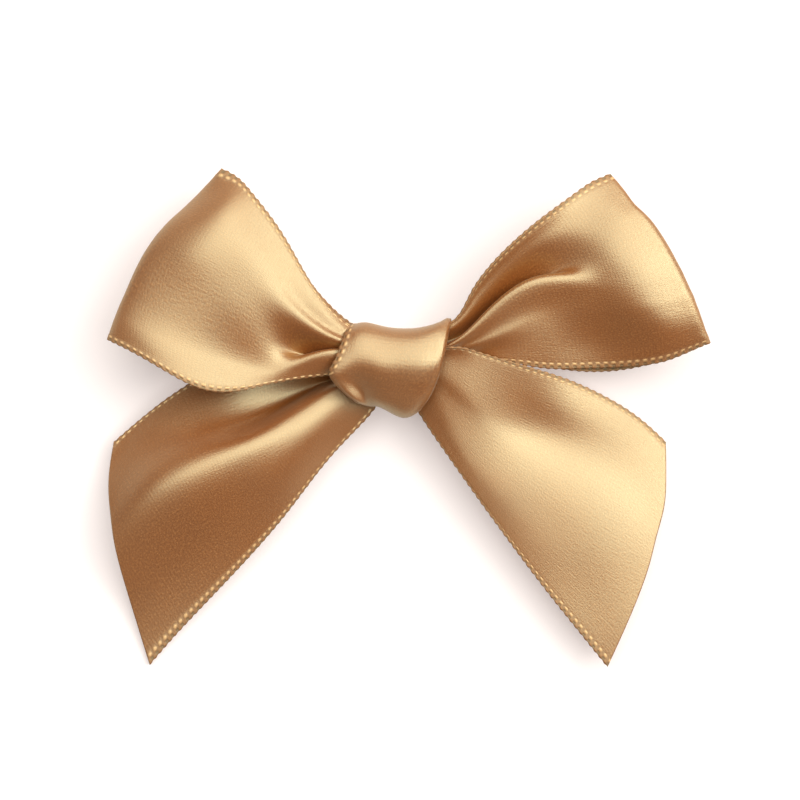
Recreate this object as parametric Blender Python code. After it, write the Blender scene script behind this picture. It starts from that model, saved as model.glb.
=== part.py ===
"""Pre-made satin gift bow: one ribbon folded into two loops and two tails, wrapped round a
knot, with a peel-and-stick foam dot on its back.

The bow lies face up. +X points to its right, +Y to the top of the loops, +Z out of its face.
The origin is under the centre of the bow, on the surface that it lies on.
All sizes below are in millimetres; MM turns them into metres.
"""

import math

import bmesh
import bpy
from mathutils import Vector

MM = 0.001

# Driving dimensions of the ribbon
RIBBON_THICKNESS = 0.36
LOOP_STEPS, TAIL_STEPS, BAND_STEPS = 30, 14, 26  # grid cells along each length of ribbon
ACROSS_STEPS = 12  # grid cells across its width

# Driving dimensions of the fixing on the back
DOT_CENTRE = (-1.1, 3.9)
DOT_DIAMETER, DOT_THICKNESS = 5.6, 1.0
LINER_DIAMETER, LINER_THICKNESS = 6.0, 0.15
TAB_LENGTH, TAB_WIDTH = 3.4, 3.0
TAB_ANGLE = math.radians(158)  # the finger tab lies hidden behind the left loop
LAYER_GAP = 0.05

DOT_BOTTOM = LINER_THICKNESS + LAYER_GAP

# Each rail is a line that runs along the ribbon. The first and the last rail are its two woven
# edges, and the ones between them follow its ridges and valleys.
# A loop's rails leave the knot on the front, turn over at the outer fold and return behind.
LEFT_LOOP_RAILS = [
    # upper edge
    [(-5.0, 7.4, 4.9), (-7.0, 9.9, 5.6), (-9.9, 14.6, 5.7), (-13.2, 18.7, 5.0), (-14.4, 19.25, 4.0),
     (-13.3, 18.4, 3.1), (-9.6, 14.2, 2.9), (-5.2, 8.0, 3.4)],
    # upper ridge
    [(-5.3, 6.7, 5.8), (-8.2, 9.0, 6.9), (-11.8, 12.9, 7.3), (-16.0, 16.3, 6.0), (-17.7, 16.2, 4.5),
     (-16.0, 15.4, 3.1), (-10.6, 11.6, 2.7), (-5.5, 6.8, 3.2)],
    # middle
    [(-5.6, 5.9, 5.7), (-9.2, 7.9, 6.7), (-13.6, 10.5, 7.0), (-18.4, 13.1, 5.9), (-20.2, 13.1, 4.5),
     (-18.2, 12.4, 3.1), (-11.8, 9.4, 2.7), (-5.9, 5.9, 3.2)],
    # valley that leads into the knot
    [(-5.9, 5.2, 4.3), (-9.0, 5.7, 4.9), (-14.0, 7.1, 6.4), (-20.1, 9.6, 5.8), (-21.9, 9.7, 4.5),
     (-19.8, 9.2, 3.2), (-12.6, 6.9, 2.9), (-6.2, 5.1, 3.2)],
    # lower ridge
    [(-6.1, 4.6, 5.6), (-9.3, 4.3, 5.8), (-14.6, 4.3, 6.5), (-21.0, 7.1, 5.6), (-22.8, 7.6, 4.5),
     (-20.6, 6.9, 3.4), (-13.2, 4.9, 3.2), (-6.5, 4.4, 3.3)],
    # lower edge
    [(-6.3, 3.9, 4.9), (-9.9, 3.0, 5.3), (-15.0, 2.2, 6.0), (-21.2, 5.2, 5.3), (-23.3, 6.1, 4.5),
     (-21.2, 5.4, 3.7), (-14.2, 3.1, 3.6), (-6.8, 3.8, 3.5)],
]

RIGHT_LOOP_RAILS = [
    # upper edge
    [(3.9, 7.7, 4.7), (5.8, 10.8, 5.2), (9.0, 14.3, 5.9), (13.6, 18.0, 5.6), (15.7, 18.9, 4.5),
     (14.3, 17.9, 3.3), (9.2, 13.6, 2.9), (4.2, 7.2, 3.4)],
    # upper panel
    [(4.0, 7.3, 5.2), (6.6, 9.8, 5.7), (11.0, 12.9, 6.9), (16.5, 15.5, 6.6), (18.7, 15.2, 4.7),
     (16.6, 14.9, 3.1), (10.4, 11.8, 2.7), (4.3, 6.8, 3.2)],
    # valley under the crease
    [(4.0, 6.9, 4.6), (6.8, 8.7, 4.3), (12.0, 11.4, 5.3), (18.4, 12.8, 6.4), (20.6, 12.4, 4.7),
     (18.4, 12.0, 3.1), (11.4, 10.2, 2.7), (4.3, 6.6, 3.2)],
    # crease
    [(4.0, 6.6, 5.4), (7.1, 8.2, 6.0), (12.6, 10.4, 6.6), (19.2, 11.0, 6.2), (21.4, 10.5, 4.6),
     (19.2, 10.2, 3.1), (12.0, 8.8, 2.8), (4.3, 6.4, 3.2)],
    # lower panel
    [(4.0, 6.3, 5.5), (7.6, 6.5, 6.1), (13.4, 7.2, 6.4), (20.4, 8.1, 5.4), (22.5, 8.1, 4.4),
     (20.2, 7.8, 3.3), (12.6, 6.8, 3.0), (4.4, 6.2, 3.3)],
    # lower edge
    [(4.1, 6.1, 4.8), (8.2, 5.1, 4.8), (14.2, 4.2, 5.1), (21.0, 5.1, 4.8), (23.3, 5.9, 4.2),
     (20.9, 5.0, 3.6), (13.8, 4.1, 3.5), (4.7, 6.0, 3.4)],
]

# A tail's rails run from the knot to its slanting cut end.
LEFT_TAIL_RAILS = [
    # upper edge
    [(-6.5, 3.3, 2.1), (-11.0, 4.4, 1.5), (-15.4, 3.6, 1.1), (-19.5, 1.0, 0.8), (-23.1, -1.9, 0.4)],
    # valley in the shade of the loop
    [(-5.9, 2.8, 1.8), (-9.8, 1.9, 1.6), (-14.6, 0.9, 1.6), (-19.0, -1.4, 1.3), (-23.3, -5.2, 0.6)],
    # ridge
    [(-5.3, 2.0, 2.3), (-8.6, 0.6, 2.6), (-13.2, -1.3, 2.6), (-18.0, -4.3, 2.0), (-22.9, -8.6, 0.8)],
    # lower panel
    [(-4.5, 1.0, 2.1), (-6.9, -1.3, 2.7), (-11.4, -5.3, 2.9), (-16.4, -9.6, 2.2), (-21.9, -13.4, 0.8)],
    # lower edge
    [(-3.4, 0.1, 1.9), (-5.6, -2.5, 2.4), (-9.7, -7.7, 2.5), (-14.8, -13.4, 1.6), (-20.3, -19.4, 0.2)],
]

RIGHT_TAIL_RAILS = [
    # upper edge
    [(3.7, 5.4, 4.0), (8.0, 4.4, 3.6), (13.0, 2.5, 2.4), (17.2, 0.6, 1.2), (20.4, -1.9, 0.4)],
    # upper panel
    [(3.5, 4.9, 3.7), (7.2, 2.9, 3.2), (12.2, 0.4, 2.4), (16.8, -2.4, 1.4), (20.3, -5.3, 0.6)],
    # ridge
    [(3.2, 4.2, 3.9), (6.4, 1.3, 3.6), (10.8, -1.8, 3.0), (15.4, -5.4, 2.0), (19.4, -9.5, 0.8)],
    # lower panel
    [(2.4, 2.6, 3.2), (5.0, -0.9, 3.0), (9.3, -5.3, 2.4), (13.6, -9.8, 1.5), (17.8, -14.5, 0.5)],
    # lower edge
    [(1.4, 0.9, 2.6), (3.6, -3.3, 2.5), (7.3, -8.7, 1.8), (11.4, -14.1, 1.0), (15.7, -19.4, 0.2)],
]

# Each loop and tail bends where it leaves the knot; its origin is on that fold line.
LEFT_LOOP_FOLD = (-5.6, 5.7, 6.0)
RIGHT_LOOP_FOLD = (3.9, 6.9, 5.7)
LEFT_TAIL_FOLD = (-5.4, 2.3, 1.8)
RIGHT_TAIL_FOLD = (2.5, 3.0, 2.8)

# The band's rails go round the knot, from the middle of its back, over the front, to the back.
BAND_RAILS = [
    # left edge
    [(-4.0, 4.4, 1.52), (-4.1, 6.4, 1.7), (-4.5, 7.1, 3.6), (-4.9, 6.4, 6.0), (-5.4, 4.7, 6.8),
     (-5.7, 3.0, 6.1), (-4.2, 1.5, 3.9), (-3.7, 2.2, 1.7), (-3.9, 3.8, 1.52)],
    # left of the middle
    [(-2.4, 4.4, 1.52), (-2.4, 6.4, 1.7), (-2.4, 7.0, 3.9), (-2.5, 6.2, 6.1), (-2.6, 4.5, 6.9),
     (-2.6, 2.8, 6.2), (-2.4, 1.4, 4.0), (-2.4, 2.0, 1.7), (-2.4, 3.8, 1.52)],
    # right of the middle
    [(-0.6, 4.4, 1.52), (-0.6, 6.4, 1.7), (-0.4, 6.9, 3.9), (-0.3, 6.1, 6.1), (-0.3, 4.2, 6.9),
     (-0.4, 2.4, 6.1), (-0.7, 0.8, 3.8), (-0.7, 1.8, 1.7), (-0.6, 3.8, 1.52)],
    # right edge
    [(1.2, 4.4, 1.52), (1.6, 6.4, 1.7), (3.2, 7.6, 3.9), (3.2, 6.4, 6.2), (2.8, 4.2, 6.8),
     (2.0, 2.3, 6.0), (0.5, 0.6, 3.7), (0.6, 1.8, 1.7), (1.0, 3.8, 1.52)],
]

# The gathered ribbon inside the band, given from its left end to its right end: the pinched
# middle of the loops lies in front of the crossed tails.
LOOP_GATHER = {"left": (-5.0, 4.3, 4.9), "right": (2.6, 5.0, 4.9), "width": 3.4, "height": 2.2}
TAIL_CROSSING = {"left": (-3.9, 4.0, 2.7), "right": (1.0, 4.2, 2.7), "width": 3.4, "height": 1.5}
GATHER_PLEATS, PLEAT_DEPTH, GATHER_SIDES = 8, 0.07, 48

# Colours as linear RGB
SATIN_GOLD = (0.60, 0.36, 0.15)
FOAM_WHITE = (0.86, 0.86, 0.84)
LINER_PAPER = (0.80, 0.72, 0.55)


def clear_scene():
    for old in list(bpy.data.objects):
        bpy.data.objects.remove(old)


def make_material(name, colour, roughness, metallic=0.0):
    material = bpy.data.materials.new(name)
    material.use_nodes = True
    shader = material.node_tree.nodes["Principled BSDF"]
    shader.inputs["Base Color"].default_value = (*colour, 1.0)
    shader.inputs["Roughness"].default_value = roughness
    shader.inputs["Metallic"].default_value = metallic
    return material


def smooth_point(points, place):
    """The point at `place` (0 to 1) on a Catmull-Rom curve through evenly counted points."""
    last = len(points) - 1
    i = min(int(place * last), last - 1)
    t = place * last - i
    before = points[i - 1] if i > 0 else points[i] * 2 - points[i + 1]
    after = points[i + 2] if i + 2 <= last else points[i + 1] * 2 - points[i]
    a, b = points[i], points[i + 1]
    return 0.5 * (
        2 * a
        + (b - before) * t
        + (2 * before - 5 * a + 4 * b - after) * t**2
        + (3 * a - before - 3 * b + after) * t**3
    )


def add_object(name, mesh, material, origin=(0, 0, 0)):
    mesh.materials.append(material)
    mesh.shade_smooth()
    part = bpy.data.objects.new(name, mesh)
    part.location = Vector(origin) * MM
    bpy.context.scene.collection.objects.link(part)
    return part


def ribbon(name, rails, steps, material, fold=(0, 0, 0)):
    """A length of ribbon: a surface through its rails, thickened to both sides."""
    lines = [[(Vector(point) - Vector(fold)) * MM for point in rail] for rail in rails]
    mesh = bpy.data.meshes.new(name)
    bm = bmesh.new()
    rows = []
    for i in range(steps + 1):
        across = [smooth_point(line, i / steps) for line in lines]
        rows.append(
            [bm.verts.new(smooth_point(across, j / ACROSS_STEPS)) for j in range(ACROSS_STEPS + 1)]
        )
    for first, second in zip(rows, rows[1:]):
        for j in range(ACROSS_STEPS):
            bm.faces.new((first[j], first[j + 1], second[j + 1], second[j]))
    bm.to_mesh(mesh)
    bm.free()
    part = add_object(name, mesh, material, fold)
    solidify = part.modifiers.new("thickness", "SOLIDIFY")
    solidify.thickness = RIBBON_THICKNESS * MM
    solidify.offset = 0
    solidify.use_even_offset = True
    return part


def extruded(name, outline, bottom, height, material):
    """A flat solid of the outline, given in millimetres, standing on z = bottom."""
    mesh = bpy.data.meshes.new(name)
    bm = bmesh.new()
    base = bm.faces.new([bm.verts.new((x * MM, y * MM, bottom * MM)) for x, y in outline])
    top = bmesh.ops.extrude_face_region(bm, geom=[base])
    raised = [item for item in top["geom"] if isinstance(item, bmesh.types.BMVert)]
    bmesh.ops.translate(bm, verts=raised, vec=(0, 0, height * MM))
    bmesh.ops.recalc_face_normals(bm, faces=bm.faces)
    bm.to_mesh(mesh)
    bm.free()
    part = add_object(name, mesh, material)
    mesh.set_sharp_from_angle(angle=math.radians(40))
    return part


def foam_dot(material):
    radius, sides = DOT_DIAMETER / 2, 40
    x, y = DOT_CENTRE
    turns = [math.tau * i / sides for i in range(sides)]
    outline = [(x + radius * math.cos(turn), y + radius * math.sin(turn)) for turn in turns]
    return extruded("foam_dot", outline, DOT_BOTTOM, DOT_THICKNESS, material)


def release_liner(material):
    """A disc with a finger tab that ends in a half round."""
    radius, sides = LINER_DIAMETER / 2, 32
    half_tab = TAB_WIDTH / 2
    opening = math.asin(half_tab / radius)
    reach = radius + TAB_LENGTH - half_tab
    disc = [opening + (math.tau - 2 * opening) * i / sides for i in range(sides + 1)]
    tip = [-math.pi / 2 + math.pi * i / 10 for i in range(11)]
    outline = [(radius * math.cos(a), radius * math.sin(a)) for a in disc]
    outline += [(reach + half_tab * math.cos(a), half_tab * math.sin(a)) for a in tip]
    cosine, sine = math.cos(TAB_ANGLE), math.sin(TAB_ANGLE)
    x, y = DOT_CENTRE
    turned = [(x + u * cosine - v * sine, y + u * sine + v * cosine) for u, v in outline]
    return extruded("release_liner", turned, 0, LINER_THICKNESS, material)


def gather(name, shape, material):
    """A short fluted bundle: the pleats of the ribbon pressed together inside the band."""
    x, y, z = shape["left"]
    outline = []
    for i in range(GATHER_SIDES):
        turn = math.tau * i / GATHER_SIDES
        pleat = 1 - PLEAT_DEPTH * (1 - math.cos(GATHER_PLEATS * turn)) / 2
        across = shape["width"] / 2 * pleat * math.cos(turn)
        outline.append((y + across, z + shape["height"] / 2 * pleat * math.sin(turn)))
    mesh = bpy.data.meshes.new(name)
    bm = bmesh.new()
    left = bm.faces.new([bm.verts.new((x * MM, v * MM, w * MM)) for v, w in outline])
    right = bmesh.ops.extrude_face_region(bm, geom=[left])
    moved = [item for item in right["geom"] if isinstance(item, bmesh.types.BMVert)]
    run = (Vector(shape["right"]) - Vector(shape["left"])) * MM
    bmesh.ops.translate(bm, verts=moved, vec=run)
    bmesh.ops.recalc_face_normals(bm, faces=bm.faces)
    bm.to_mesh(mesh)
    bm.free()
    part = add_object(name, mesh, material)
    mesh.set_sharp_from_angle(angle=math.radians(50))
    return part


def main():
    clear_scene()
    satin = make_material("satin_ribbon", SATIN_GOLD, roughness=0.4, metallic=0.3)
    foam = make_material("adhesive_foam", FOAM_WHITE, roughness=0.8)
    paper = make_material("liner_paper", LINER_PAPER, roughness=0.5)
    ribbon("left_loop", LEFT_LOOP_RAILS, LOOP_STEPS, satin, LEFT_LOOP_FOLD)
    ribbon("right_loop", RIGHT_LOOP_RAILS, LOOP_STEPS, satin, RIGHT_LOOP_FOLD)
    ribbon("left_tail", LEFT_TAIL_RAILS, TAIL_STEPS, satin, LEFT_TAIL_FOLD)
    ribbon("right_tail", RIGHT_TAIL_RAILS, TAIL_STEPS, satin, RIGHT_TAIL_FOLD)
    ribbon("knot_band", BAND_RAILS, BAND_STEPS, satin)
    gather("loop_gather", LOOP_GATHER, satin)
    gather("tail_crossing", TAIL_CROSSING, satin)
    foam_dot(foam)
    release_liner(paper)


main()
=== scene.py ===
"""Looks of the pre-made satin gift bow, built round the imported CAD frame.

Lengths are millimetres, and MM turns them into metres; the stage's own are metres.
+X is the bow's right, +Y the tops of its loops, +Z out of its face.
"""

import math

import bmesh
import bpy
import numpy as np
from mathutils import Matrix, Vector


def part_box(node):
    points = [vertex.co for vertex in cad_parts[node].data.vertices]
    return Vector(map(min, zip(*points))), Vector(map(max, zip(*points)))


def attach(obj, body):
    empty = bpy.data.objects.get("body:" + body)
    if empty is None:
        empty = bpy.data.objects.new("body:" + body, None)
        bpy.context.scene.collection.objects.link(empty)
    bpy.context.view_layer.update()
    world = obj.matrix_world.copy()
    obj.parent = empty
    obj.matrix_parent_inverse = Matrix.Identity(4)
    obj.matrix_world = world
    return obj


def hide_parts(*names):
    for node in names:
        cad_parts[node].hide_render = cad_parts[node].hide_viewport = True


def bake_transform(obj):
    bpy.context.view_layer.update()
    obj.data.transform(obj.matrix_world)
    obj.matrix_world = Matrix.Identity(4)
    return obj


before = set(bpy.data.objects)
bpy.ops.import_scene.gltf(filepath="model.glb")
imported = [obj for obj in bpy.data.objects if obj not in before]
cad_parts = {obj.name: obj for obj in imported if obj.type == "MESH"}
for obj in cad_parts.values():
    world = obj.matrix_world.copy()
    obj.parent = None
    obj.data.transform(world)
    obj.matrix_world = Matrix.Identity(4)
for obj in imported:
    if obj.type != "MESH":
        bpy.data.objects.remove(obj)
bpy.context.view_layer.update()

MM = 0.001
UV_UNIT = 10.0  # millimetres of ribbon in one unit of its UV map
RIBBON_WIDTH = 16.0
RIBBON_THICKNESS = 0.2
PICOT_PITCH = 0.61  # spacing of the little loops along the woven edge
STEP = 0.11  # spacing of the mesh rows along the ribbon
EDGE_COLUMNS = [0.0, 0.11, 0.24, 0.38, 0.52, 0.68]  # mesh columns along each woven edge
EDGE_ZONE = 1.0  # width of the zone those columns fill
COLUMN_GAP = 0.36  # spacing of the mesh columns between the two edge zones
PLEAT_WAVES = ((0.6, 2.3, 0.7), (0.4, 1.45, 2.0))  # share, length and phase of each wave of a gather
SCALLOP_DEPTH, SCALLOP_REACH = 0.08, 0.3  # how far the edge's loops stand out, and begin inside it
BEAD_HEIGHT, BEAD_INSET, BEAD_SPREAD = 0.04, 0.38, 0.1  # the raised threads between those loops
RIM_SEGMENTS, SMOOTH_ANGLE, TIP_SIDES = 3, math.radians(35), 20  # rims and tab of the flat pieces
LEVEL = 1e-7  # metres; an edge whose ends differ less than this in height is level

# ---------------------------------------------------------------- ribbon shapes
# Each rail runs along the ribbon at the stated distance from its first woven edge. Every rail
# has one point per station, from the knot outwards; a loop goes on over its fold and back.

LEFT_LOOP = {
    0.0: [(-2.9, 6.4, 4.7), (-4.5, 7.15, 5.3), (-6.75, 9.5, 5.9), (-9.25, 13.65, 6.0), (-11.95, 17.4, 5.5),
          (-13.5, 18.95, 4.5), (-14.45, 19.4, 3.9), (-13.7, 18.6, 3.3), (-10.0, 14.5, 3.0),
          (-7.3, 10.1, 3.7), (-4.8, 7.45, 4.2), (-2.9, 6.5, 3.9)],
    2.2: [(-2.9, 6.2, 5.0), (-4.65, 6.8, 5.6), (-7.0, 8.7, 6.1), (-9.8, 12.3, 6.4), (-12.8, 15.9, 6.2),
          (-14.9, 17.1, 5.4), (-16.5, 17.2, 4.0), (-15.2, 16.9, 3.0), (-10.8, 13.0, 2.8),
          (-7.3, 9.0, 3.4), (-4.9, 7.0, 3.9), (-2.9, 6.2, 3.7)],
    5.0: [(-3.0, 5.8, 5.2), (-4.9, 6.25, 5.8), (-7.2, 7.6, 6.2), (-10.2, 10.5, 6.8), (-13.8, 13.7, 6.9),
          (-16.7, 14.9, 6.1), (-18.3, 15.5, 4.3), (-16.8, 14.9, 2.9), (-11.6, 11.6, 2.7),
          (-7.4, 8.0, 3.2), (-5.0, 6.6, 3.7), (-3.0, 5.9, 3.6)],
    7.6: [(-3.1, 5.3, 5.1), (-5.1, 5.6, 5.6), (-7.4, 6.3, 5.9), (-10.5, 8.5, 6.8), (-14.7, 11.2, 7.0),
          (-18.0, 12.8, 6.3), (-19.7, 13.9, 4.5), (-18.1, 13.0, 2.9), (-12.2, 10.0, 2.7),
          (-7.5, 7.1, 3.3), (-5.2, 6.1, 3.8), (-3.1, 5.5, 3.7)],
    9.4: [(-3.2, 4.7, 4.3), (-5.35, 4.85, 4.4), (-7.8, 4.85, 4.5), (-10.7, 6.1, 6.2), (-15.3, 8.7, 6.8),
          (-19.2, 10.6, 6.1), (-20.9, 11.9, 4.6), (-19.2, 10.9, 3.0), (-12.7, 8.4, 2.8),
          (-7.6, 6.4, 3.1), (-5.3, 5.6, 3.6), (-3.2, 5.1, 3.6)],
    10.6: [(-3.2, 4.9, 5.1), (-5.2, 5.3, 5.5), (-7.5, 5.0, 5.5), (-10.5, 4.7, 6.0), (-15.8, 6.7, 6.6),
           (-20.1, 8.7, 6.0), (-21.8, 9.9, 4.6), (-20.0, 9.1, 3.1), (-13.1, 7.0, 2.9),
           (-7.7, 5.7, 3.2), (-5.5, 5.2, 3.7), (-3.3, 4.8, 3.6)],
    13.2: [(-3.4, 4.3, 5.4), (-5.6, 4.4, 5.8), (-7.6, 4.15, 5.8), (-10.5, 3.5, 6.0), (-16.0, 4.6, 6.7),
           (-20.8, 6.8, 6.2), (-22.6, 8.0, 4.6), (-20.7, 7.2, 3.3), (-13.5, 5.4, 3.1),
           (-7.9, 4.9, 3.2), (-5.7, 4.7, 3.7), (-3.4, 4.4, 3.6)],
    16.0: [(-3.6, 3.7, 5.0), (-6.0, 3.45, 5.2), (-7.7, 3.25, 5.3), (-10.6, 2.75, 5.9), (-15.9, 2.35, 7.0),
           (-21.0, 5.05, 6.3), (-23.25, 6.2, 4.7), (-21.3, 5.6, 3.7), (-14.0, 3.6, 3.5),
           (-8.0, 4.0, 3.6), (-5.9, 4.0, 3.9), (-3.5, 4.0, 3.7)],
}

RIGHT_LOOP = {
    0.0: [(1.4, 6.6, 4.6), (3.45, 7.45, 5.2), (5.15, 9.95, 6.0), (8.9, 14.2, 6.6), (12.4, 16.95, 6.2),
          (14.5, 18.4, 5.5), (15.75, 18.95, 5.1), (14.9, 18.1, 3.6), (10.3, 14.9, 3.0),
          (5.9, 10.1, 3.7), (3.7, 7.3, 4.0), (1.4, 6.5, 3.9)],
    1.5: [(1.4, 6.4, 4.65), (3.4, 7.2, 5.1), (5.35, 9.45, 5.6), (9.25, 13.4, 6.1), (12.95, 15.8, 6.1),
          (15.4, 17.2, 5.9), (16.7, 17.75, 5.6), (15.8, 17.0, 3.65), (10.85, 14.05, 2.9),
          (6.1, 9.7, 3.55), (3.7, 7.15, 3.9), (1.4, 6.35, 3.8)],
    3.0: [(1.4, 6.2, 4.7), (3.4, 6.9, 5.0), (5.6, 8.9, 5.25), (9.6, 12.6, 5.6), (13.5, 14.7, 6.2),
          (16.3, 15.9, 6.4), (17.6, 16.5, 6.1), (16.7, 15.9, 3.7), (11.4, 13.2, 2.8),
          (6.3, 9.3, 3.4), (3.7, 7.0, 3.8), (1.4, 6.2, 3.7)],
    5.6: [(1.4, 5.5, 4.1), (3.25, 5.9, 4.2), (6.2, 7.6, 4.1), (10.3, 10.5, 4.5), (14.4, 12.2, 6.3),
          (17.1, 13.1, 6.9), (19.3, 14.4, 6.4), (18.3, 13.8, 3.7), (12.4, 11.4, 2.7),
          (6.6, 8.5, 3.3), (3.7, 6.7, 3.7), (1.4, 5.9, 3.6)],
    6.6: [(1.4, 5.4, 4.8), (3.2, 5.75, 5.2), (5.9, 7.95, 5.5), (10.1, 10.95, 5.9), (14.6, 11.2, 6.4),
          (17.7, 11.8, 7.0), (20.3, 12.7, 6.45), (19.2, 12.2, 3.7), (12.9, 10.2, 2.7),
          (6.8, 7.8, 3.4), (3.7, 6.4, 3.8), (1.4, 5.7, 3.7)],
    8.6: [(1.4, 5.2, 4.8), (3.2, 5.5, 5.15), (6.4, 7.2, 5.5), (10.5, 9.5, 5.9), (14.9, 9.8, 6.2),
          (18.3, 10.15, 7.0), (21.2, 10.9, 6.45), (20.0, 10.5, 3.6), (13.4, 8.9, 2.8),
          (6.9, 7.1, 3.3), (3.7, 6.1, 3.6), (1.4, 5.5, 3.6)],
    11.2: [(1.4, 5.0, 4.6), (3.15, 5.2, 4.75), (6.7, 6.3, 5.2), (10.9, 7.9, 5.3), (15.2, 8.0, 5.6),
           (19.0, 8.45, 6.8), (22.0, 9.1, 6.35), (20.8, 8.8, 3.6), (13.8, 7.4, 2.9),
           (7.0, 6.3, 3.4), (3.7, 5.8, 3.7), (1.4, 5.2, 3.6)],
    13.6: [(1.4, 4.8, 4.3), (3.1, 4.9, 4.3), (6.8, 5.5, 4.7), (11.0, 6.1, 4.8), (15.3, 6.1, 4.8),
           (19.9, 6.7, 6.2), (22.7, 7.3, 5.95), (21.4, 7.1, 3.5), (14.1, 5.8, 3.1),
           (7.1, 5.6, 3.3), (3.7, 5.5, 3.6), (1.4, 5.0, 3.6)],
    16.0: [(1.4, 4.6, 3.8), (3.1, 4.5, 3.7), (6.9, 4.5, 4.3), (11.0, 3.95, 4.2), (15.4, 4.03, 4.2),
           (20.2, 4.55, 5.0), (23.25, 5.8, 5.4), (21.9, 5.2, 3.6), (14.3, 3.7, 3.5),
           (7.2, 4.8, 3.5), (3.7, 5.1, 3.7), (1.4, 4.8, 3.6)],
}

LEFT_TAIL = {
    0.0: [(-4.0, 4.0, 3.0), (-5.7, 3.7, 2.9), (-8.5, 4.6, 2.4), (-12.5, 4.5, 1.8), (-16.5, 3.0, 1.6),
          (-19.9, 0.7, 1.5), (-23.05, -1.93, 1.2)],
    3.0: [(-3.9, 3.8, 3.0), (-5.5, 3.4, 2.9), (-8.4, 3.4, 2.3), (-12.5, 2.5, 2.2), (-16.6, 1.0, 2.4),
          (-20.3, -1.2, 2.3), (-23.35, -4.4, 1.9)],
    5.2: [(-3.8, 3.5, 2.8), (-5.4, 3.1, 2.6), (-8.4, 1.7, 2.1), (-12.4, -0.3, 2.9), (-16.6, -1.4, 3.7),
          (-20.3, -3.3, 3.5), (-23.3, -6.3, 2.7)],
    6.4: [(-3.6, 3.2, 3.1), (-5.0, 2.9, 3.2), (-8.0, 1.45, 3.4), (-12.0, -1.0, 4.5), (-16.4, -2.5, 4.8),
          (-20.1, -4.5, 4.4), (-23.15, -7.5, 3.1)],
    9.0: [(-3.2, 2.7, 3.3), (-4.5, 2.2, 3.7), (-7.5, -0.1, 4.5), (-11.6, -2.9, 5.3), (-16.2, -4.8, 5.5),
          (-19.8, -7.1, 4.8), (-22.8, -10.1, 3.2)],
    12.5: [(-2.8, 2.3, 3.1), (-3.8, 1.5, 3.4), (-6.7, -1.7, 3.7), (-10.7, -5.5, 4.0), (-15.4, -9.0, 3.45),
           (-19.0, -11.7, 2.5), (-21.8, -14.3, 1.3)],
    16.0: [(-2.0, 1.8, 2.5), (-2.6, 0.75, 2.6), (-5.6, -2.5, 2.5), (-9.7, -7.7, 2.3), (-14.6, -13.2, 1.5),
           (-17.9, -16.7, 0.8), (-20.3, -19.45, 0.2)],
}

RIGHT_TAIL = {
    0.0: [(1.2, 5.2, 4.9), (3.0, 5.5, 5.65), (5.4, 5.2, 5.4), (9.9, 3.87, 4.5), (13.4, 2.7, 3.2),
          (17.7, 0.41, 2.2), (20.4, -1.9, 1.5)],
    3.2: [(1.1, 4.4, 4.7), (2.8, 4.6, 5.2), (5.3, 3.6, 5.05), (9.6, 1.5, 3.9), (13.4, 0.0, 3.1),
          (17.6, -2.2, 2.3), (20.4, -5.0, 1.8)],
    5.6: [(1.0, 3.8, 4.7), (2.5, 3.4, 5.0), (5.0, 1.5, 4.7), (9.2, -0.9, 3.4), (13.2, -2.6, 2.9),
          (17.2, -4.8, 2.5), (20.15, -7.4, 2.1)],
    7.0: [(0.9, 3.4, 4.55), (2.3, 2.9, 4.8), (4.8, 0.7, 4.5), (8.6, -2.1, 3.6), (12.7, -4.4, 3.2),
          (16.8, -6.6, 2.8), (19.7, -9.0, 2.3)],
    10.0: [(0.7, 2.9, 4.25), (1.9, 2.2, 4.45), (3.9, -1.0, 4.2), (7.7, -4.9, 3.7), (12.0, -8.0, 3.3),
           (15.9, -10.4, 3.0), (18.9, -12.0, 2.5)],
    13.0: [(0.5, 2.4, 3.9), (1.4, 1.4, 4.0), (3.4, -1.9, 3.9), (7.1, -6.5, 3.5), (11.2, -10.5, 3.1),
           (14.7, -13.6, 2.8), (17.4, -15.9, 2.5)],
    16.0: [(0.2, 2.0, 3.4), (0.95, 0.6, 3.5), (3.0, -2.5, 3.6), (6.6, -7.6, 3.2), (10.3, -12.6, 2.8),
           (13.3, -16.4, 2.6), (15.8, -19.5, 2.2)],
}

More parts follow.
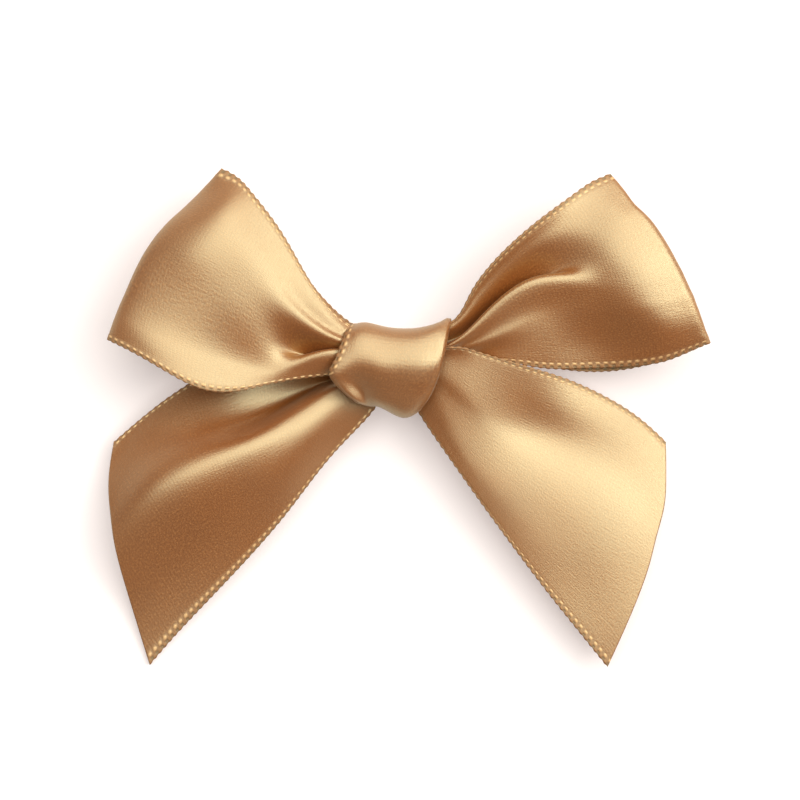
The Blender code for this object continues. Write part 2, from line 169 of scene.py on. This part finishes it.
# The band goes once round the knot, starting and ending behind it.
BAND = {
    0.0: [(-4.0, 4.3, 1.5), (-4.1, 6.3, 1.8), (-4.45, 7.2, 4.2), (-4.7, 6.7, 5.8), (-5.15, 5.5, 6.4),
          (-5.6, 4.4, 6.5), (-5.95, 3.45, 6.2), (-5.2, 2.4, 5.7), (-4.1, 1.45, 5.0), (-3.8, 1.9, 2.2),
          (-3.9, 3.9, 1.5)],
    0.7: [(-3.4, 4.3, 1.5), (-3.5, 6.3, 1.8), (-3.8, 7.35, 4.3), (-4.1, 6.8, 6.0), (-4.5, 5.5, 6.6),
          (-5.0, 4.3, 6.7), (-5.45, 3.3, 6.5), (-4.8, 2.35, 5.9), (-3.8, 1.4, 5.2), (-3.4, 1.8, 2.1),
          (-3.4, 3.9, 1.5)],
    1.8: [(-2.7, 4.3, 1.5), (-2.8, 6.3, 1.8), (-3.1, 7.4, 4.4), (-3.4, 6.9, 6.1), (-3.7, 5.5, 6.75),
          (-4.0, 4.3, 6.75), (-4.4, 3.3, 6.2), (-4.0, 2.4, 5.55), (-3.3, 1.35, 4.8), (-2.8, 1.6, 2.1),
          (-2.7, 3.9, 1.5)],
    3.6: [(-1.6, 4.3, 1.5), (-1.6, 6.3, 1.8), (-1.8, 7.1, 4.4), (-2.0, 6.7, 6.1), (-2.2, 5.4, 6.8),
          (-2.3, 4.1, 6.95), (-2.6, 2.9, 6.3), (-2.6, 1.9, 5.6), (-2.4, 1.2, 4.9), (-2.0, 1.5, 2.1),
          (-1.6, 3.9, 1.5)],
    5.6: [(-0.2, 4.3, 1.5), (-0.1, 6.3, 1.8), (-0.2, 6.93, 4.4), (-0.4, 6.55, 6.1), (-0.5, 5.3, 6.85),
          (-0.6, 4.0, 7.0), (-0.7, 2.7, 6.45), (-0.8, 1.6, 5.8), (-1.0, 0.65, 4.9), (-0.8, 1.1, 2.1),
          (-0.3, 3.9, 1.5)],
    7.3: [(1.0, 4.3, 1.5), (1.2, 6.3, 1.8), (1.9, 7.2, 4.4), (1.8, 6.75, 6.1), (1.6, 5.3, 6.8),
          (1.4, 4.0, 6.95), (0.9, 2.6, 6.4), (0.55, 1.4, 5.7), (0.3, 0.4, 4.8), (0.3, 1.0, 2.1),
          (0.7, 3.9, 1.5)],
    7.9: [(1.4, 4.3, 1.5), (1.7, 6.3, 1.8), (2.85, 7.55, 4.5), (2.7, 6.95, 6.0), (2.4, 5.4, 6.6),
          (2.1, 4.0, 6.75), (1.65, 2.6, 6.2), (1.2, 1.5, 5.6), (0.85, 0.65, 4.7), (0.7, 1.2, 2.1),
          (1.1, 3.9, 1.5)],
    8.4: [(1.7, 4.3, 1.55), (2.1, 6.3, 1.85), (3.35, 7.8, 4.4), (3.2, 6.9, 5.9), (2.9, 5.3, 6.5),
          (2.55, 3.9, 6.55), (2.2, 2.7, 5.9), (1.7, 1.6, 5.3), (1.2, 0.9, 4.4), (1.0, 1.3, 2.2),
          (1.4, 3.9, 1.55)],
}
KNOT_CENTRE = Vector((0, 4.15, 4.1))
# Rails of the band's hidden half: the rail each one lies under, how deep, and its shift to the right.
UNDERLAP = {9.3: (7.9, 0.5, 0.0), 11.5: (5.6, 0.5, 0.4), 14.0: (3.6, 0.5, 0.2), 16.0: (1.8, 0.5, 0.3)}
# From this share of the band's length, over this ramp, its left edge turns under by this much.
TUCK_START, TUCK_RAMP, TUCK_SHIFT = 0.56, 0.06, 1.3

RIGHT_LOOP_FOLD = 6  # the station at the right loop's outer fold
FOLD_CREASE = (0.16, 0.16, 0.25)  # how far inside the fold the extra station lies, per axis

# Per body: a point on its hinge, the direction away from the knot, and the stretch, in millimetres, meant to
# bend; nothing is bent with them.
HINGES = {
    "left_loop": ((-5.6, 5.7, 6.0), (-0.937, 0.35, 0), 0.0, 9.0),
    "right_loop": ((3.9, 6.9, 5.7), (0.97, -0.24, 0), 0.0, 9.0),
    "left_tail": ((-5.4, 2.3, 1.8), (-0.436, -0.9, 0), 0.5, 8.5),
    "right_tail": ((2.5, 3.0, 2.8), (0.835, -0.55, 0), 0.0, 8.0),
}

DOT_RADIUS, DOT_BEVEL = 2.78, 0.12
LINER_RADIUS, LINER_HEIGHT, LINER_BEVEL = 2.98, 0.14, 0.03
LINER_TAB = (3.4, 3.0, math.radians(158))  # length, width and direction

# ---------------------------------------------------------------- looks
BODY_DARK, BODY_LIGHT = (0.166, 0.037, 0.0032, 1), (0.230, 0.057, 0.0055, 1)
RIB_SHADE = (0.12, 0.028, 0.004, 1)
FLECK_LIGHT, FLECK_DARK = (0.48, 0.18, 0.04, 1), (0.09, 0.020, 0.003, 1)
# On the woven edge, the bead colour is a painted highlight on the raised threads and the hole colour is
# painted shade in the gaps between the loops.
PICOT_REST, PICOT_BEAD_HIGHLIGHT, PICOT_HOLE_SHADE = (0.16, 0.045, 0.014, 1), (0.55, 0.30, 0.12, 1), (0.10, 0.026, 0.004, 1)
FOAM_DARK, FOAM_LIGHT, FOAM_CELL = (0.74, 0.73, 0.69, 1), (0.88, 0.87, 0.84, 1), (0.62, 0.61, 0.58, 1)
PAPER_DARK, PAPER_LIGHT, PAPER_FIBRE = (0.70, 0.60, 0.42, 1), (0.80, 0.71, 0.53, 1), (0.58, 0.48, 0.32, 1)

# Lights, camera and floor are in metres. A light has a name, place, size and power in watts, and
# faces the bow.
LIGHTS = (
    ("key", (0.14, 0.42, 0.36), (0.50, 0.30), 1.1),
    ("right", (0.42, 0.12, 0.40), (0.36, 0.36), 2.0),
    ("overhead", (0.10, 0.22, 0.8), (1.4, 0.82), 12.9),
)
LIGHT_COLOUR = (1.0, 0.985, 0.95)
CAMERA_PLACE = (-0.51 * MM, 1.44 * MM, 0.3165)
CAMERA_LENS, CAMERA_SENSOR = 180, 36  # millimetres
FLOOR_REACH, FLOOR_DROP = 3.0, 0.0001  # from the middle to each side, and below the bow


def spline_weights(knots, places):
    """Rows of weights that read a natural cubic spline through values at the knots."""
    knots, places = np.asarray(knots, float), np.asarray(places, float)
    n = len(knots)
    h = np.diff(knots)
    left, right = np.eye(n), np.zeros((n, n))
    for i in range(1, n - 1):
        left[i, i - 1 : i + 2] = h[i - 1], 2 * (h[i - 1] + h[i]), h[i]
        right[i, i - 1 : i + 2] = 6 / h[i - 1], -6 / h[i - 1] - 6 / h[i], 6 / h[i]
    curve = np.linalg.solve(left, right)
    i = np.clip(np.searchsorted(knots, places, side="right") - 1, 0, n - 2)
    hi = h[i]
    a, b = (knots[i + 1] - places) / hi, (places - knots[i]) / hi
    rows = np.arange(len(places))
    weights = np.zeros((len(places), n))
    weights[rows, i] += a
    weights[rows, i + 1] += b
    weights += ((a**3 - a) * hi**2 / 6)[:, None] * curve[i] + ((b**3 - b) * hi**2 / 6)[:, None] * curve[i + 1]
    return weights


def sharpen_fold(rails, fold):
    """Adds a station just inside a loop's fold, so that the fold is a crease and not a roll."""
    sharp = {}
    for across, line in rails.items():
        edge, inner = np.array(line[fold]), np.array(line[fold - 1])
        extra = edge + (inner - edge) * FOLD_CREASE
        sharp[across] = line[:fold] + [tuple(extra)] + line[fold:]
    return sharp


def columns():
    """Distances across the ribbon of the mesh columns: close together along the woven edges."""
    count = int((RIBBON_WIDTH - 2 * EDGE_ZONE) / COLUMN_GAP)
    middle = np.linspace(EDGE_ZONE, RIBBON_WIDTH - EDGE_ZONE, count)
    return np.array(EDGE_COLUMNS + list(middle) + [RIBBON_WIDTH - e for e in reversed(EDGE_COLUMNS)])


def lengths(line):
    """Distance along a line at each of its points."""
    steps = np.linalg.norm(np.diff(line, axis=0), axis=1)
    return np.concatenate([[0], np.cumsum(steps)])


def unit(vectors):
    return vectors / np.maximum(np.linalg.norm(vectors, axis=-1, keepdims=True), 1e-9)


def normals_of(grid):
    return unit(np.cross(np.gradient(grid, axis=0), np.gradient(grid, axis=1)))


def ribbon_grid(rails, gather=None):
    """Points, in millimetres, and (along, across) ribbon coordinates of a surface through rails.

    gather is the (depth, reach) of pleats that fade out from the rails' last stations."""
    across = np.array(sorted(rails))
    points = np.array([rails[v] for v in across], float)
    chords = np.linalg.norm(np.diff(points, axis=1), axis=2).mean(axis=0)
    stations = np.concatenate([[0], np.cumsum(chords)])
    rows = np.linspace(0, stations[-1], int(stations[-1] / STEP) + 1)
    cols = columns()
    grid = np.einsum(
        "ik,rkc,jr->ijc", spline_weights(stations, rows), points, spline_weights(across, cols)
    )
    first, last = lengths(grid[:, 0]), lengths(grid[:, -1])
    share = cols / RIBBON_WIDTH
    along = first[:, None] * (1 - share) + last[:, None] * share
    if gather:
        depth, reach = gather
        fade = depth * np.exp(-np.maximum(stations[-2] - rows, 0) / reach)
        wave = sum(part * np.sin(2 * math.pi * cols / length + phase) for part, length, phase in PLEAT_WAVES)
        grid = grid + normals_of(grid) * (fade[:, None] * wave[None, :])[..., None]
    return grid, along, np.broadcast_to(cols, along.shape)


def woven_edges(grid, along, across):
    """Pushes the outermost columns out into the small loops of the woven edges."""
    side = unit(np.gradient(grid, axis=1))
    normal = normals_of(grid)
    wave = 0.5 + 0.5 * np.cos(2 * math.pi * along / PICOT_PITCH)
    for inset, outward in ((across, -1), (RIBBON_WIDTH - across, 1)):
        out = SCALLOP_DEPTH * wave * np.clip(1 - inset / SCALLOP_REACH, 0, 1)
        bead = BEAD_HEIGHT * (1 - wave) * np.exp(-(((inset - BEAD_INSET) / BEAD_SPREAD) ** 2))
        grid = grid + side * (out * outward)[..., None] + normal * bead[..., None]
    return grid


def ribbon_object(name, grid, along, across, material):
    """A satin piece of the ribbon's thickness, with its ribbon coordinates as a UV map."""
    rows, cols = along.shape
    index = np.arange(rows * cols).reshape(rows, cols)
    corners = [index[:-1, :-1], index[:-1, 1:], index[1:, 1:], index[1:, :-1]]
    faces = np.stack(corners, axis=-1).reshape(-1, 4)
    mesh = bpy.data.meshes.new(name)
    mesh.from_pydata((grid.reshape(-1, 3) * MM).tolist(), [], faces.tolist())
    uv = mesh.uv_layers.new(name="ribbon")
    spots = np.stack([along.ravel(), across.ravel()], axis=-1) / UV_UNIT
    corner = np.zeros(len(mesh.loops), int)
    mesh.loops.foreach_get("vertex_index", corner)
    uv.data.foreach_set("uv", spots[corner].astype(np.float32).ravel())
    mesh.shade_smooth()
    piece = bpy.data.objects.new(name, mesh)
    bpy.context.scene.collection.objects.link(piece)
    solid = piece.modifiers.new("thickness", "SOLIDIFY")
    solid.thickness = RIBBON_THICKNESS * MM
    solid.offset = 0
    graph = bpy.context.evaluated_depsgraph_get()
    final = bpy.data.meshes.new_from_object(piece.evaluated_get(graph))
    piece.modifiers.clear()
    piece.data = final
    final.materials.clear()
    final.materials.append(material)
    return piece


# ---------------------------------------------------------------- materials
class Shader:
    """A small helper that builds a Principled material from procedural nodes."""

    def __init__(self, name, **constants):
        self.material = bpy.data.materials.new(name)
        self.material.use_nodes = True
        self.tree = self.material.node_tree
        self.principled = self.tree.nodes["Principled BSDF"]
        for socket, value in constants.items():
            self.principled.inputs[socket.replace("_", " ")].default_value = value

    def link(self, source, target):
        self.tree.links.new(source, target)

    def put(self, value, target):
        if isinstance(value, bpy.types.NodeSocket):
            self.link(value, target)
        else:
            target.default_value = value

    def math(self, operation, *values, clamp=False):
        node = self.tree.nodes.new("ShaderNodeMath")
        node.operation = operation
        node.use_clamp = clamp
        for socket, value in zip(node.inputs, values):
            self.put(value, socket)
        return node.outputs[0]

    def mix(self, share, first, second):
        node = self.tree.nodes.new("ShaderNodeMix")
        node.data_type = "RGBA"
        self.put(share, node.inputs[0])
        self.put(first, node.inputs[6])
        self.put(second, node.inputs[7])
        return node.outputs[2]

    def vector(self, x, y, z=0.0):
        node = self.tree.nodes.new("ShaderNodeCombineXYZ")
        for socket, value in zip(node.inputs, (x, y, z)):
            self.put(value, socket)
        return node.outputs[0]

    def noise(self, vector, scale, detail=2.0, rough=0.5):
        node = self.tree.nodes.new("ShaderNodeTexNoise")
        self.put(vector, node.inputs["Vector"])
        node.inputs["Scale"].default_value = scale
        node.inputs["Detail"].default_value = detail
        node.inputs["Roughness"].default_value = rough
        return node.outputs["Fac"]

    def bump(self, height, strength, distance):
        """Relief of the stated height in metres."""
        node = self.tree.nodes.new("ShaderNodeBump")
        node.inputs["Strength"].default_value = strength
        node.inputs["Distance"].default_value = distance
        self.put(height, node.inputs["Height"])
        self.link(node.outputs[0], self.principled.inputs["Normal"])

    def window(self, value, centre, half):
        """1 at the centre, falling to 0 at half either side."""
        off = self.math("ABSOLUTE", self.math("SUBTRACT", value, centre))
        return self.math("SUBTRACT", 1.0, self.math("DIVIDE", off, half), clamp=True)


def satin():
    """Gold satin: a smooth warp with faint weft ribs, fine flecks and a looped woven edge, its beads with a
    painted highlight and its holes with painted shade.
    """
    made = Shader(
        "gold_satin",
        Metallic=0.0,
        IOR=2.55,
        Specular_Tint=(1.0, 0.975, 0.60, 1.0),
        Anisotropic=0.35,
        Sheen_Weight=0.15,
        Sheen_Roughness=0.4,
        Sheen_Tint=(1.0, 0.85, 0.6, 1.0),
    )
    m = made.math
    uv = made.tree.nodes.new("ShaderNodeUVMap")
    uv.uv_map = "ribbon"
    parts = made.tree.nodes.new("ShaderNodeSeparateXYZ")
    made.link(uv.outputs[0], parts.inputs[0])
    along, across = m("MULTIPLY", parts.outputs[0], UV_UNIT), m("MULTIPLY", parts.outputs[1], UV_UNIT)
    turns = 2 * math.pi / PICOT_PITCH

    # the weave, in millimetres along and across
    rib = m("MULTIPLY_ADD", m("SINE", m("MULTIPLY", along, 2 * turns)), 0.5, 0.5)
    floats = made.noise(made.vector(m("MULTIPLY", along, 0.9), m("MULTIPLY", across, 9.0)), 1.0, 3.0)
    grain = made.noise(made.vector(along, across, 3.0), 7.0, 2.0, 0.6)
    cloud = made.noise(made.vector(along, across, 9.0), 0.22, 2.0)

    # the woven edge: holes between the loops in painted shade, beads with a painted highlight, and the darker
    # thread between beads
    inset = m("MINIMUM", across, m("SUBTRACT", RIBBON_WIDTH, across))
    beat = m("COSINE", m("MULTIPLY", along, turns))

    def edge_mask(centre, half, gain, offset):
        rhythm = m("MULTIPLY_ADD", beat, gain, offset, clamp=True)
        return m("MULTIPLY", made.window(inset, centre, half), rhythm, clamp=True)

    holes = edge_mask(0.13, 0.13, -0.9, 0.35)
    beads = edge_mask(0.38, 0.14, -0.6, 0.4)
    rests = edge_mask(0.4, 0.2, 0.6, 0.3)

    light_flecks = m("MULTIPLY", m("SUBTRACT", grain, 0.5, clamp=True), 1.4)
    dark_flecks = m("MULTIPLY", m("SUBTRACT", 0.5, grain, clamp=True), 1.4)
    body = made.mix(cloud, BODY_DARK, BODY_LIGHT)
    body = made.mix(m("MULTIPLY", rib, 0.1), body, RIB_SHADE)
    body = made.mix(light_flecks, body, FLECK_LIGHT)
    body = made.mix(dark_flecks, body, FLECK_DARK)
    body = made.mix(m("MULTIPLY", rests, 0.7), body, PICOT_REST)
    # painted highlight on the raised beads of the woven edge
    body = made.mix(m("MULTIPLY", beads, 1.5, clamp=True), body, PICOT_BEAD_HIGHLIGHT)
    # painted shade in the holes between the woven edge's loops
    body = made.mix(m("MULTIPLY", holes, 1.7, clamp=True), body, PICOT_HOLE_SHADE)
    made.link(body, made.principled.inputs["Base Color"])

    selvedge = m("SUBTRACT", 1.0, m("DIVIDE", inset, 0.75), clamp=True)
    rough = m("ADD", 0.355, m("MULTIPLY", grain, 0.14))
    rough = m("ADD", rough, m("MULTIPLY", selvedge, 0.3))
    made.link(rough, made.principled.inputs["Roughness"])

    height = m("ADD", m("MULTIPLY", rib, 0.18), m("MULTIPLY", floats, 0.8))
    height = m("ADD", height, m("MULTIPLY", grain, 1.3))
    height = m("ADD", height, m("MULTIPLY", beads, 2.2))
    height = m("SUBTRACT", height, m("MULTIPLY", holes, 2.5))
    made.bump(height, strength=0.45, distance=0.00003)

    tangent = made.tree.nodes.new("ShaderNodeTangent")
    tangent.direction_type = "UV_MAP"
    tangent.uv_map = "ribbon"
    made.link(tangent.outputs[0], made.principled.inputs["Tangent"])
    return made.material


def foam():
    """White closed-cell foam."""
    made = Shader("white_foam", Metallic=0.0)
    place = made.tree.nodes.new("ShaderNodeTexCoord").outputs["Object"]
    cells = made.tree.nodes.new("ShaderNodeTexVoronoi")
    cells.inputs["Scale"].default_value = 5200
    made.link(place, cells.inputs["Vector"])
    tone = made.noise(place, 900.0, 3.0)
    body = made.mix(tone, FOAM_DARK, FOAM_LIGHT)
    body = made.mix(made.math("MULTIPLY", cells.outputs["Distance"], 0.35), body, FOAM_CELL)
    made.link(body, made.principled.inputs["Base Color"])
    made.link(made.math("MULTIPLY_ADD", tone, 0.2, 0.6), made.principled.inputs["Roughness"])
    made.bump(cells.outputs["Distance"], strength=0.6, distance=0.00008)
    return made.material


def liner_paper():
    """Waxed buff paper with fine fibres."""
    made = Shader("liner_paper", Metallic=0.0)
    place = made.tree.nodes.new("ShaderNodeTexCoord").outputs["Object"]
    fibres = made.noise(place, 2600.0, 4.0, 0.7)
    tone = made.noise(place, 350.0, 2.0)
    body = made.mix(tone, PAPER_DARK, PAPER_LIGHT)
    body = made.mix(made.math("MULTIPLY", fibres, 0.3), body, PAPER_FIBRE)
    made.link(body, made.principled.inputs["Base Color"])
    made.link(made.math("MULTIPLY_ADD", fibres, 0.25, 0.3), made.principled.inputs["Roughness"])
    made.bump(fibres, strength=0.3, distance=0.00002)
    return made.material


# ---------------------------------------------------------------- pieces
def bend(piece, body, point, direction, first, last):
    """Bakes the piece's place into its mesh and makes no blend from the knot to the body; body, first and
    last are not used.
    """
    point, direction = Vector(point), Vector(direction).normalized()
    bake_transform(piece)


def soft_piece(node, rails, material, gather=None):
    """The satin loop or tail that stands for a CAD node, which it hides."""
    grid, along, across = ribbon_grid(rails, gather)
    grid = woven_edges(grid, along, across)
    piece = ribbon_object("satin_" + node, grid, along, across, material)
    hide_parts(node)
    bend(piece, node, *HINGES[node])


def band_rails():
    """The band with its far half folded back underneath along its right edge."""
    rails = dict(BAND)
    for across, (over, depth, shift) in UNDERLAP.items():
        line = []
        for x, y, z in BAND[over]:
            inward = (KNOT_CENTRE - Vector((0, y, z))).normalized() * depth
            line.append((x + shift, y + inward.y, z + inward.z))
        rails[across] = line
    return rails


def knot_band(material):
    """The band round the knot. Its lower left edge reads as turned under: the ribbon coordinates
    start further in there, so no edge loops show."""
    grid, along, across = ribbon_grid(band_rails())
    share = np.linspace(0, 1, len(grid))[:, None]
    tucked = np.clip((share - TUCK_START) / TUCK_RAMP, 0, 1) * (1 - across / RIBBON_WIDTH)
    across = across + TUCK_SHIFT * tucked
    grid = woven_edges(grid, along, across)
    band = ribbon_object("satin_knot_band", grid, along, across, material)
    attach(band, "knot")
    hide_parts("knot_band")


def gathered_core(material):
    """The ribbon inside the band: pleated into a bundle, it runs across and doubles back below."""
    over, turn, under = 3.9, 0.9, 3.7  # length above, radius of the turn, length below
    folds, depth = 4.5, 0.62  # number of pleats across the ribbon, and how deep they are
    turn_x, turn_z = 0.3, 4.1  # axis of the turn
    start_y, drop = 4.95, 1.65  # middle of the bundle, and how far it sinks along the ribbon
    tall, taper, slant = 3.3, 0.6, 0.9  # height of the bundle, what it loses, and its lean
    total = over + math.pi * turn + under
    along, across = np.meshgrid(np.linspace(0, total, int(total / STEP)), columns(), indexing="ij")
    part, share = along / total, across / RIBBON_WIDTH
    angle = np.clip((along - over) / turn, 0, math.pi)
    pleat = turn + depth * np.sin(math.tau * folds * share)
    back = np.maximum(over - along, 0) + np.maximum(along - over - math.pi * turn, 0)
    x = turn_x - back + pleat * np.sin(angle) + (0.5 - share) * slant
    y = start_y - drop * part + (0.5 - share) * (tall - taper * part)
    z = turn_z + pleat * np.cos(angle)
    piece = ribbon_object("satin_core", np.stack([x, y, z], axis=-1), along, across, material)
    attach(piece, "knot")
    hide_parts("loop_gather", "tail_crossing")


def disc_outline(centre, radius, tab=None, sides=96):
    """A circle, with a round-ended tab of (length, width, angle) if one is given."""
    x, y = centre
    if tab is None:
        turns = [math.tau * i / sides for i in range(sides)]
        return [(x + radius * math.cos(a), y + radius * math.sin(a)) for a in turns]
    length, width, angle = tab
    half = width / 2
    opening = math.asin(half / radius)
    reach = radius + length - half
    turns = [opening + (math.tau - 2 * opening) * i / sides for i in range(sides + 1)]
    outline = [(radius * math.cos(a), radius * math.sin(a)) for a in turns]
    tip = [-math.pi / 2 + math.pi * i / TIP_SIDES for i in range(TIP_SIDES + 1)]
    outline += [(reach + half * math.cos(a), half * math.sin(a)) for a in tip]
    c, s = math.cos(angle), math.sin(angle)
    return [(x + u * c - v * s, y + u * s + v * c) for u, v in outline]


def flat_piece(name, outline, bottom, height, bevel, material):
    """A thin flat piece of the given outline with rounded rims."""
    mesh = bpy.data.meshes.new(name)
    bm = bmesh.new()
    base = bm.faces.new([bm.verts.new((x * MM, y * MM, bottom * MM)) for x, y in outline])
    top = bmesh.ops.extrude_face_region(bm, geom=[base])
    raised = [item for item in top["geom"] if isinstance(item, bmesh.types.BMVert)]
    bmesh.ops.translate(bm, verts=raised, vec=(0, 0, height * MM))
    bmesh.ops.recalc_face_normals(bm, faces=bm.faces)
    rims = [e for e in bm.edges if abs(e.verts[0].co.z - e.verts[1].co.z) < LEVEL]
    bmesh.ops.bevel(
        bm, geom=rims, offset=bevel * MM, segments=RIM_SEGMENTS, affect="EDGES", profile=0.5
    )
    bm.to_mesh(mesh)
    bm.free()
    mesh.shade_smooth()
    mesh.set_sharp_from_angle(angle=SMOOTH_ANGLE)
    mesh.materials.append(material)
    piece = bpy.data.objects.new(name, mesh)
    bpy.context.scene.collection.objects.link(piece)
    return piece


def fixing():
    """The foam dot on the back and the paper liner over it."""
    low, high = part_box("foam_dot")
    centre = ((low + high) / 2 / MM)[:2]
    outline = disc_outline(centre, DOT_RADIUS)
    bottom, height = low.z / MM, (high - low).z / MM
    dot = flat_piece("foam_dot_soft", outline, bottom, height, DOT_BEVEL, foam())
    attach(dot, "knot")
    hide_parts("foam_dot")
    paper = liner_paper()
    outline = disc_outline(centre, LINER_RADIUS, LINER_TAB)
    liner = flat_piece("liner_with_tab", outline, 0.0, LINER_HEIGHT, LINER_BEVEL, paper)
    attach(liner, "liner")
    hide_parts("release_liner")


def build():
    ribbon = satin()
    right_loop = sharpen_fold(RIGHT_LOOP, RIGHT_LOOP_FOLD)
    soft_piece("left_loop", LEFT_LOOP, ribbon, gather=(0.45, 4.0))
    soft_piece("right_loop", right_loop, ribbon, gather=(0.55, 5.0))
    soft_piece("left_tail", LEFT_TAIL, ribbon)
    soft_piece("right_tail", RIGHT_TAIL, ribbon)
    knot_band(ribbon)
    gathered_core(ribbon)
    fixing()


# ---------------------------------------------------------------- stage
def area_light(name, place, size, power):
    data = bpy.data.lights.new(name, "AREA")
    data.shape = "RECTANGLE"
    data.size, data.size_y = size
    data.energy = power
    data.color = LIGHT_COLOUR
    lamp = bpy.data.objects.new(name, data)
    lamp.location = place
    lamp.rotation_euler = (-Vector(place)).to_track_quat("-Z", "Y").to_euler()
    bpy.context.scene.collection.objects.link(lamp)


def stage():
    """A plain pale floor, soft lights and a neutral world."""
    mesh = bpy.data.meshes.new("floor")
    far = FLOOR_REACH
    corners = [(-far, -far, 0), (far, -far, 0), (far, far, 0), (-far, far, 0)]
    mesh.from_pydata(corners, [], [(0, 1, 2, 3)])
    floor = bpy.data.objects.new("floor", mesh)
    floor.location.z = -FLOOR_DROP
    bpy.context.scene.collection.objects.link(floor)
    board = Shader(
        "white_board",
        Roughness=0.9,
        Base_Color=(0.55, 0.515, 0.50, 1),
        Specular_IOR_Level=0.1,
        Emission_Color=(1.0, 0.9, 0.88, 1),
        Emission_Strength=0.38,
    )
    mesh.materials.append(board.material)
    for light in LIGHTS:
        area_light(*light)
    world = bpy.data.worlds.new("studio")
    world.use_nodes = True
    background = world.node_tree.nodes["Background"]
    background.inputs["Color"].default_value = (1.0, 0.98, 0.96, 1)
    background.inputs["Strength"].default_value = 0.12
    bpy.context.scene.world = world
    view = bpy.context.scene.view_settings
    view.view_transform = "Standard"
    view.look = "None"


def camera():
    """Straight above the bow, looking down."""
    data = bpy.data.cameras.new("camera")
    data.lens, data.sensor_width = CAMERA_LENS, CAMERA_SENSOR
    data.clip_start, data.clip_end = 0.01, 20
    eye = bpy.data.objects.new("camera", data)
    eye.location = CAMERA_PLACE
    bpy.context.scene.collection.objects.link(eye)
    bpy.context.scene.camera = eye


build()
stage()
camera()
